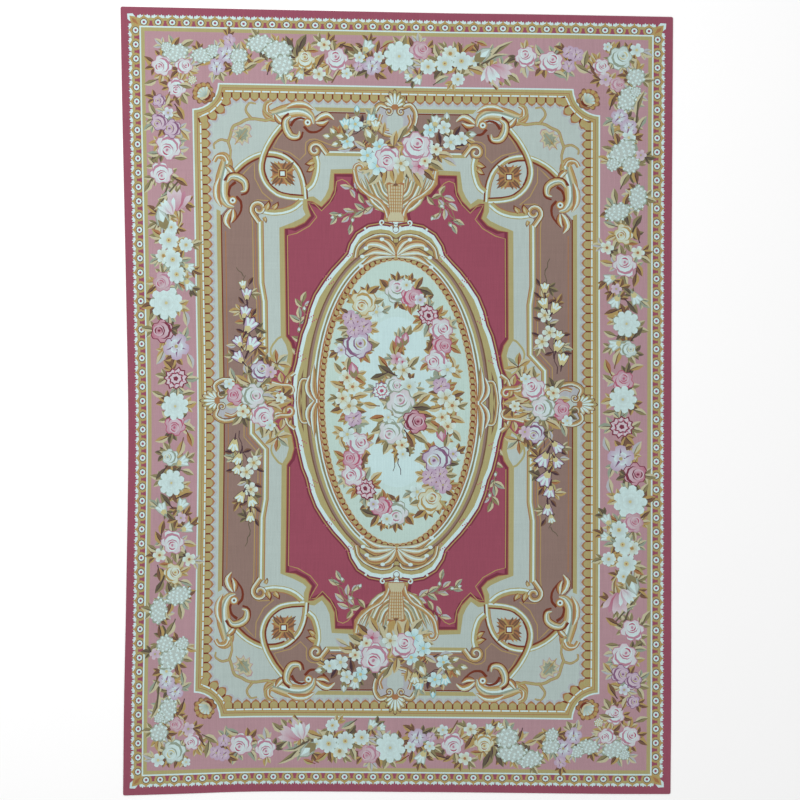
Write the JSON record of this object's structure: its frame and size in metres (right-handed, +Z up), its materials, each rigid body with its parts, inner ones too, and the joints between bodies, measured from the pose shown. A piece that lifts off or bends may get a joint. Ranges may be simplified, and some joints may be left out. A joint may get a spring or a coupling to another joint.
{
  "type": "flat-woven medallion area rug",
  "caption": "Large flat-woven wool rug with a floral garland border, scrolling strapwork and an oval medallion; lies flat on a floor.",
  "frame": {"origin": "centre of the rug's box, on the floor plane at the underside", "axes": "+Y along the length towards the top edge of the design, +X across the width to the right, +Z up through the patterned face"},
  "size_m": [3.012, 4.3018, 0.003],
  "materials": {
    "wool_tapestry": "matt tapestry-woven wool on a cotton warp, fine ribs along the length, crimson, old rose, taupe, cream and gold"
  },
  "bodies": {
    "root": {"rug_cloth": "wool_tapestry"}
  },
  "joints": []
}
